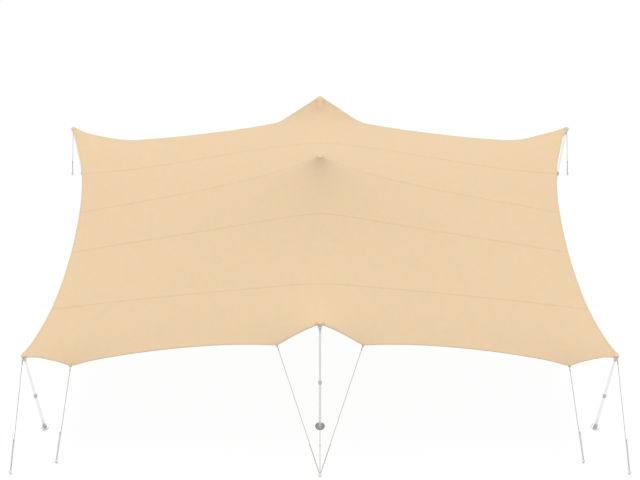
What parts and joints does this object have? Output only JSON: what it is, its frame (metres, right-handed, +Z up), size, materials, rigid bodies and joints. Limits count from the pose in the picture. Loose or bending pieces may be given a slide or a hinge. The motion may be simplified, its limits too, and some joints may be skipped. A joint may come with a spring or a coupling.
{
  "type": "stretch tent",
  "caption": "Stretch-fabric canopy in seamed strips, drawn out to corner, middle and centre poles and held down by ropes to ground stakes.",
  "frame": {"origin": "on the ground, at the middle of the tent's plan", "axes": "+X along the long side to the right, +Y from the front hem to the back hem, towards the side the centre pole stands nearer, +Z up"},
  "size_m": [11.048, 7.848, 3.5735],
  "materials": {
    "canopy_fabric": "matt cream stretch fabric with a fine knit",
    "hem_fabric": "rolled and stitched edge of the same fabric",
    "cap_fabric": "doubled fabric, stitched round the pole head",
    "pole_metal": "satin anodised tube",
    "rope_fibre": "braided pale rope",
    "stake_steel": "galvanised, slightly dull"
  },
  "bodies": {
    "root": {"panel_front": "canopy_fabric", "panel_front_middle": "canopy_fabric", "panel_middle": "canopy_fabric", "panel_back_middle": "canopy_fabric", "panel_back": "canopy_fabric", "hem_front_left": "hem_fabric", "hem_front_right": "hem_fabric", "hem_right": "hem_fabric", "hem_back_right": "hem_fabric", "hem_back_left": "hem_fabric", "hem_left": "hem_fabric", "cap_front_left": "cap_fabric", "cap_front_middle": "cap_fabric", "cap_front_right": "cap_fabric", "cap_back_left": "cap_fabric", "cap_back_middle": "cap_fabric", "cap_back_right": "cap_fabric", "cap_centre": "cap_fabric", "pole_front_left": "pole_metal", "pole_front_middle": "pole_metal", "pole_front_right": "pole_metal", "pole_back_left": "pole_metal", "pole_back_middle": "pole_metal", "pole_back_right": "pole_metal", "pole_centre": "pole_metal", "guy_front_left": "rope_fibre", "guy_front_right": "rope_fibre", "guy_back_left": "rope_fibre", "guy_back_right": "rope_fibre", "guys_front_middle": "rope_fibre", "guys_back_middle": "rope_fibre", "tie_front_left": "rope_fibre", "tie_front_right": "rope_fibre", "tie_back_left": "rope_fibre", "tie_back_right": "rope_fibre", "guy_stake_front_left": "stake_steel", "guy_stake_front_middle": "stake_steel", "guy_stake_front_right": "stake_steel", "guy_stake_back_left": "stake_steel", "guy_stake_back_middle": "stake_steel", "guy_stake_back_right": "stake_steel", "tie_stake_front_left": "stake_steel", "tie_stake_front_right": "stake_steel", "tie_stake_back_left": "stake_steel", "tie_stake_back_right": "stake_steel"}
  },
  "joints": []
}
